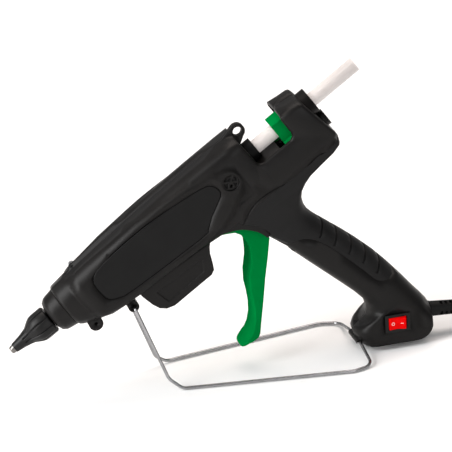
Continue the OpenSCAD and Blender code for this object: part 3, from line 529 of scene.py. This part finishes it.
# the strain relief: a flange and a tapered sleeve with four rows of slots, from its root in the foot
relief = {
    "root": (268.3, -208), "dip": 5, "length": 40, "sides": 40, "radii": (6.3, 5.5),
    "flange": (7, 6.5), "flangeDepth": 3, "overlap": 1,
    "slots": 7, "first": 12, "pitch": 4.2, "slot": (3.8, 4.4, 2.4), "turn": 25,
}
slotInputs = {"Slots": "Int", "Pitch": "Float", "First": "Float", "Reach": "Float",
              "Size": "Vector", "Turn": "Float", "Finish": "Material"}


def slotTree(name):
    # slots in rows along Z, with four rows round the axis
    tree = bpy.data.node_groups.new(name, "GeometryNodeTree")
    face = tree.interface
    face.new_socket("Geometry", in_out="INPUT", socket_type="NodeSocketGeometry")
    for label, kind in slotInputs.items():
        face.new_socket(label, in_out="INPUT", socket_type="NodeSocket" + kind)
    face.new_socket("Geometry", in_out="OUTPUT", socket_type="NodeSocketGeometry")

    def add(kind, **given):
        node = tree.nodes.new(kind)
        for key, value in given.items():
            setattr(node, key, value)
        return node

    link = tree.links.new
    entry, leave = add("NodeGroupInput"), add("NodeGroupOutput")
    start, step = add("ShaderNodeCombineXYZ"), add("ShaderNodeCombineXYZ")
    link(entry.outputs["Reach"], start.inputs["Y"])
    link(entry.outputs["First"], start.inputs["Z"])
    link(entry.outputs["Pitch"], step.inputs["Z"])
    line = add("GeometryNodeMeshLine", mode="OFFSET")
    link(entry.outputs["Slots"], line.inputs["Count"])
    link(start.outputs[0], line.inputs["Start Location"])
    link(step.outputs[0], line.inputs["Offset"])
    slot = add("GeometryNodeMeshCube")
    link(entry.outputs["Size"], slot.inputs["Size"])
    row = add("GeometryNodeInstanceOnPoints")
    link(line.outputs[0], row.inputs["Points"])
    link(slot.outputs["Mesh"], row.inputs["Instance"])
    sides = add("GeometryNodeMeshLine", mode="OFFSET")
    sides.inputs["Count"].default_value = 4
    sides.inputs["Offset"].default_value = (0, 0, 0)
    number = add("GeometryNodeInputIndex")
    angle = add("ShaderNodeMath", operation="MULTIPLY_ADD")
    link(number.outputs[0], angle.inputs[0])
    angle.inputs[1].default_value = math.pi / 2
    link(entry.outputs["Turn"], angle.inputs[2])
    turn = add("ShaderNodeCombineXYZ")
    link(angle.outputs[0], turn.inputs["Z"])
    rows = add("GeometryNodeInstanceOnPoints")
    link(sides.outputs[0], rows.inputs["Points"])
    link(row.outputs[0], rows.inputs["Instance"])
    link(turn.outputs[0], rows.inputs["Rotation"])
    real, paint = add("GeometryNodeRealizeInstances"), add("GeometryNodeSetMaterial")
    link(rows.outputs[0], real.inputs[0])
    link(real.outputs[0], paint.inputs["Geometry"])
    link(entry.outputs["Finish"], paint.inputs["Material"])
    link(paint.outputs[0], leave.inputs[0])
    return tree


def runTree(obj, tree, values):
    mod = obj.modifiers.new("tree", "NODES")
    mod.node_group = tree
    for item in tree.interface.items_tree:
        if item.in_out == "INPUT" and item.name in values:
            mod[item.identifier] = values[item.name]
    obj.update_tag()
    settle(obj, mod)


def addRelief(c):
    work = bmesh.new()

    def cone(radii, low, high):
        made = bmesh.ops.create_cone(
            work, cap_ends=True, segments=c["sides"], radius1=radii[0], radius2=radii[1], depth=high - low)
        bmesh.ops.translate(work, verts=made["verts"], vec=(0, 0, (low + high) / 2))

    cone(c["flange"], 0, c["flangeDepth"])
    cone(c["radii"], c["overlap"], c["length"])
    dip = Matrix.Rotation(math.radians(90 + c["dip"]), 4, "Y")
    place = Matrix.Translation(fromGun(*c["root"], 0)) @ dip
    work.transform(place @ Matrix.Scale(mm, 4))
    obj = newObject("strainReliefSkin", meshOf("strainReliefSkin", work))
    cutter = newObject("reliefCutter", bpy.data.meshes.new("reliefCutter"))
    runTree(cutter, slotTree("slotRows"), {
        "Slots": c["slots"], "Pitch": c["pitch"] * mm, "First": c["first"] * mm,
        "Reach": c["radii"][0] * mm, "Size": [side * mm for side in c["slot"]],
        "Turn": math.radians(c["turn"]), "Finish": finishes["cord"],
    })
    cutter.data.transform(place)
    cutAway(obj, cutter)
    obj.data.materials.append(finishes["cord"])
    smoothByAngle(obj.data, 35)
    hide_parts("strain_relief")
    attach(obj, "gun_body")
    return obj


addCord(cordLead, addRelief(relief))
print("strain relief cut and cord laid")

# raised marks on the two faces of the rocker, which turns on an upright axis in the foot's side
rockerMarks = {
    "switch": (244, -190.3), "axisY": -17.9, "tilt": 8, "lobe": 12, "valley": 2.6, "reach": 3.7,
    "ring": 1.15, "ringParts": 20, "dash": 2.3, "line": 0.42, "height": 0.12, "sunk": 0.1,
}


def addMark(name, m, side, profile):
    # profile holds closed loops of (along, up) pairs, raised from the rocker's face on that side
    tilt = math.radians(m["tilt"])
    face = tilt + math.radians(m["lobe"] if side > 0 else 180 - m["lobe"])
    root = Vector((-math.sin(tilt), math.cos(tilt))) * m["valley"]
    along = Vector((math.cos(face), math.sin(face)))
    out = Vector((-along.y, along.x)) * side
    axis = fromGun(*m["switch"], m["axisY"])
    lift = out * (m["height"] + m["sunk"]) * mm
    work = bmesh.new()
    for outline in profile:
        low = []
        for a, z in outline:
            at = root + along * (m["reach"] + a) - out * m["sunk"]
            low.append(work.verts.new(axis + Vector((at.x, -at.y, z)) * mm))
        pushOut(work, work.faces.new(low), (lift.x, -lift.y, 0))
    bmesh.ops.recalc_face_normals(work, faces=work.faces)
    obj = newObject(name, meshOf(name, work))
    obj.data.materials.append(finishes["markPaint"])
    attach(obj, "rocker")


def ringSegments(r, w, n):
    # short four-sided pieces, laid end to end round the ring
    def at(radius, k):
        return radius * math.cos(math.tau * k / n), radius * math.sin(math.tau * k / n)
    return [[at(r - w / 2, k), at(r + w / 2, k), at(r + w / 2, k + 1), at(r - w / 2, k + 1)] for k in range(n)]


half, line = rockerMarks["dash"] / 2, rockerMarks["line"] / 2
ring = ringSegments(rockerMarks["ring"], rockerMarks["line"], rockerMarks["ringParts"])
addMark("offRing", rockerMarks, -1, ring)
addMark("onDash", rockerMarks, 1, [[(-half, -line), (half, -line), (half, line), (-half, line)]])
print("rocker marked")


# the floor lies a hair below the part, and is wide enough to fill the view
stage = {
    "size": 9, "place": (0, 1.5, -0.0006), "shades": ((0.93, 0.93, 0.93), (0.96, 0.96, 0.96)),
    "sky": (1, 1, 1, 1), "skyLight": 0.34,
}


def addFloor(c):
    bpy.ops.mesh.primitive_plane_add(size=c["size"], location=c["place"])
    floor = bpy.context.object
    floor.name = "studioFloor"
    g = Graph("paleFloor")
    g.tint(3, *c["shades"])
    g.put(Roughness=0.9, Specular_IOR_Level=0.1)
    floor.data.materials.append(g.mat)


def addLamp(name, place, size, power, tint=(1, 1, 1)):
    # a soft rectangular light that faces the middle of the gun
    lamp = bpy.data.objects.new(name, bpy.data.lights.new(name, "AREA"))
    bpy.context.scene.collection.objects.link(lamp)
    lamp.data.shape = "RECTANGLE"
    lamp.data.size, lamp.data.size_y = size
    lamp.data.energy = power
    lamp.data.color = tint
    lamp.location = place
    lamp.rotation_euler = (Vector(place) - Vector((0, 0, 0.1))).to_track_quat("Z", "Y").to_euler()


def addWorld(c):
    world = bpy.data.worlds.new("studio")
    world.use_nodes = True
    sky = world.node_tree.nodes["Background"].inputs
    sky["Color"].default_value = c["sky"]
    sky["Strength"].default_value = c["skyLight"]
    bpy.context.scene.world = world


addFloor(stage)
addLamp("keyLamp", (-2.1, -0.5, 1.5), (1.4, 1.2), 64)
addLamp("topLamp", (0.2, 0.7, 2.5), (2.4, 1.6), 45, tint=(1, 0.9, 0.84))
addLamp("fillLamp", (0.7, -2.3, 0.9), (1.4, 1.2), 12)
addLamp("sideLamp", (-1.6, -0.45, 0.3), (0.6, 0.5), 14)
addWorld(stage)
bpy.context.scene.view_settings.view_transform = "Standard"
print("stage lit")
